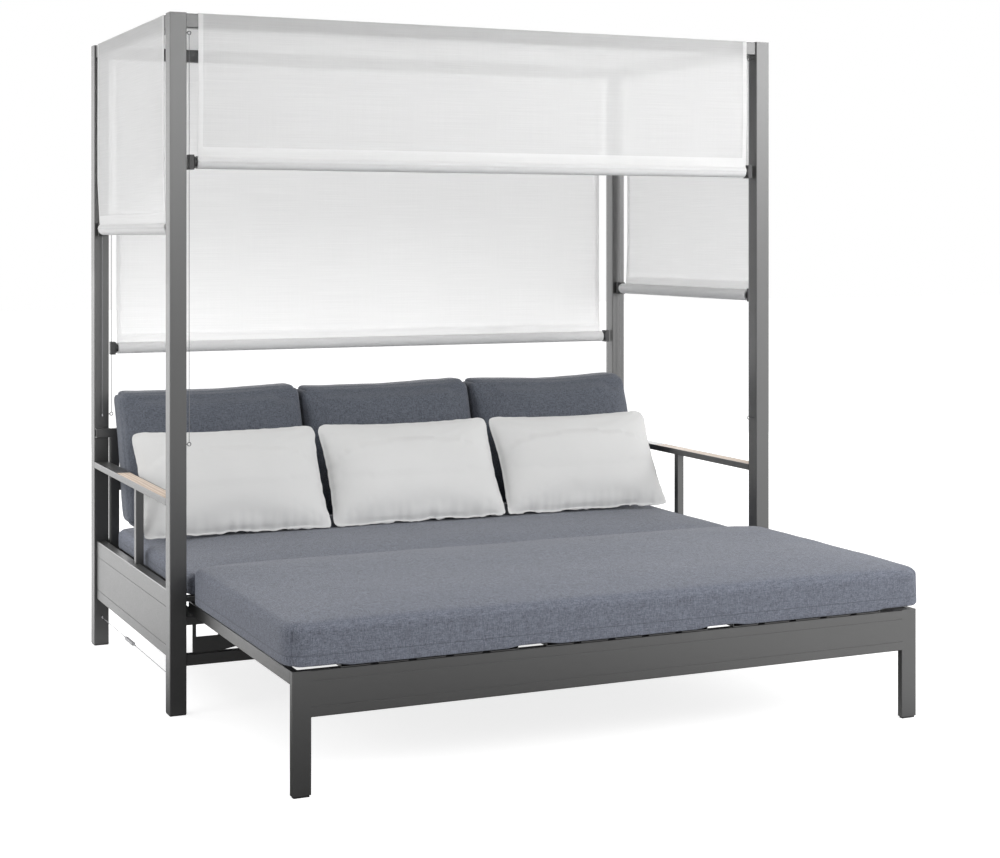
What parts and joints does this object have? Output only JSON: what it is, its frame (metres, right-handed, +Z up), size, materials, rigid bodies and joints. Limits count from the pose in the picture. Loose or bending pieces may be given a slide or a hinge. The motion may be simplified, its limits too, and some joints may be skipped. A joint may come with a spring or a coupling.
{
  "type": "daybed with canopy",
  "caption": "Outdoor daybed under a square canopy frame, with roll-up side blinds, loose cushions and pillows, and a front half that pulls out on legs to make a double bed.",
  "frame": {"origin": "middle of the whole part's box at floor level, with the pull-out drawn out", "axes": "+Z up, -Y towards the front where the pull-out comes out, +X to the right as seen from the front"},
  "size_m": [2.05, 1.9896, 2.05],
  "materials": {
    "coated_frame": "anthracite powder coat, satin",
    "black_plastic": "matt black moulding",
    "black_rubber": "matt black rubber",
    "light_wood": "pale oiled hardwood, straight grain",
    "steel_wire": "bright stainless wire",
    "white_cloth": "thin white weave that lets light through",
    "seat_fabric": "heathered blue-grey weave",
    "back_fabric": "heathered dark blue-grey weave",
    "pillow_fabric": "pale grey weave"
  },
  "bodies": {
    "frame": {"post_front_left": "coated_frame", "post_foot_front_left": "black_plastic", "post_front_right": "coated_frame", "post_foot_front_right": "black_plastic", "post_back_left": "coated_frame", "post_foot_back_left": "black_plastic", "post_back_right": "coated_frame", "post_foot_back_right": "black_plastic", "roof_beam_front": "coated_frame", "roof_beam_back": "coated_frame", "roof_beam_left": "coated_frame", "roof_beam_right": "coated_frame", "roof_canopy": "white_cloth", "side_panel_left": "coated_frame", "side_panel_right": "coated_frame", "back_panel": "coated_frame", "arm_left": "coated_frame", "arm_right": "coated_frame", "front_stretcher": "coated_frame", "slide_frame": "coated_frame", "deck": "coated_frame", "backrest_frame": "coated_frame", "arm_wood_left": "light_wood", "closing_buffer_left": "black_rubber", "arm_wood_right": "light_wood", "closing_buffer_right": "black_rubber", "front_guide_wire_left": "steel_wire", "left_guide_wire_front": "steel_wire", "front_guide_wire_right": "steel_wire", "right_guide_wire_front": "steel_wire", "back_guide_wire_left": "steel_wire", "left_guide_wire_back": "steel_wire", "back_guide_wire_right": "steel_wire", "right_guide_wire_back": "steel_wire", "tension_wire_left": "steel_wire", "tension_wire_right": "steel_wire", "rear_cushion": "seat_fabric", "back_cushion_left": "back_fabric", "back_cushion_middle": "back_fabric", "back_cushion_right": "back_fabric", "pillow_left": "pillow_fabric", "pillow_middle": "pillow_fabric", "pillow_right": "pillow_fabric", "front_blind_cloth": "white_cloth", "left_blind_cloth": "white_cloth", "right_blind_cloth": "white_cloth", "back_blind_cloth": "white_cloth"},
    "pullout": {"pullout_front": "coated_frame", "pullout_bed": "coated_frame", "pullout_foot_left": "black_plastic", "pullout_foot_right": "black_plastic"},
    "mattress": {"front_mattress": "seat_fabric"},
    "front_carriage": {"front_blind_carriage": "black_plastic"},
    "front_roll": {"front_blind_roll": "white_cloth"},
    "left_carriage": {"left_blind_carriage": "black_plastic"},
    "left_roll": {"left_blind_roll": "white_cloth"},
    "right_carriage": {"right_blind_carriage": "black_plastic"},
    "right_roll": {"right_blind_roll": "white_cloth"},
    "back_carriage": {"back_blind_carriage": "black_plastic"},
    "back_roll": {"back_blind_roll": "white_cloth"}
  },
  "joints": [
    {"name": "pullout_slide", "type": "slide", "parent": "frame", "child": "pullout", "axis": [0, 1, 0], "range_m": [0, 0.9]},
    {"name": "mattress_flip", "type": "hinge", "parent": "frame", "child": "mattress", "pos_m": [0, -0.0803, 0.4465], "axis": [1, 0, 0], "range_deg": [-90, 0]},
    {"name": "front_blind_slide", "type": "slide", "parent": "frame", "child": "front_carriage", "axis": [0, 0, 1], "range_m": [-0.798, 0.348], "deforming": ["front_blind_cloth"]},
    {"name": "front_roll_turn", "type": "hinge", "parent": "front_carriage", "child": "front_roll", "pos_m": [0, -0.05515, 1.614], "axis": [1, 0, 0], "range_deg": [-2286.2, 997]},
    {"name": "left_blind_slide", "type": "slide", "parent": "frame", "child": "left_carriage", "axis": [0, 0, 1], "range_m": [-0.605, 0.541], "deforming": ["left_blind_cloth"]},
    {"name": "left_roll_turn", "type": "hinge", "parent": "left_carriage", "child": "left_roll", "pos_m": [-1, 0.45735, 1.421], "axis": [0, 1, 0], "range_deg": [-1549.9, 1733.2]},
    {"name": "right_blind_slide", "type": "slide", "parent": "frame", "child": "right_carriage", "axis": [0, 0, 1], "range_m": [-0.382, 0.764], "deforming": ["right_blind_cloth"]},
    {"name": "right_roll_turn", "type": "hinge", "parent": "right_carriage", "child": "right_roll", "pos_m": [1, 0.45735, 1.198], "axis": [0, 1, 0], "range_deg": [-1094.4, 2188.7]},
    {"name": "back_blind_slide", "type": "slide", "parent": "frame", "child": "back_carriage", "axis": [0, 0, 1], "range_m": [-0.197, 0.949], "deforming": ["back_blind_cloth"]},
    {"name": "back_roll_turn", "type": "hinge", "parent": "back_carriage", "child": "back_roll", "pos_m": [0, 0.96985, 1.013], "axis": [1, 0, 0], "range_deg": [-2718.7, 564.4]}
  ],
  "couplings": [
    {"joint": "mattress_flip", "follows": "pullout_slide", "rad_per_m": -1.7453},
    {"joint": "front_roll_turn", "follows": "front_blind_slide", "rad_per_m": 50},
    {"joint": "left_roll_turn", "follows": "left_blind_slide", "rad_per_m": -50},
    {"joint": "right_roll_turn", "follows": "right_blind_slide", "rad_per_m": 50},
    {"joint": "back_roll_turn", "follows": "back_blind_slide", "rad_per_m": -50}
  ]
}
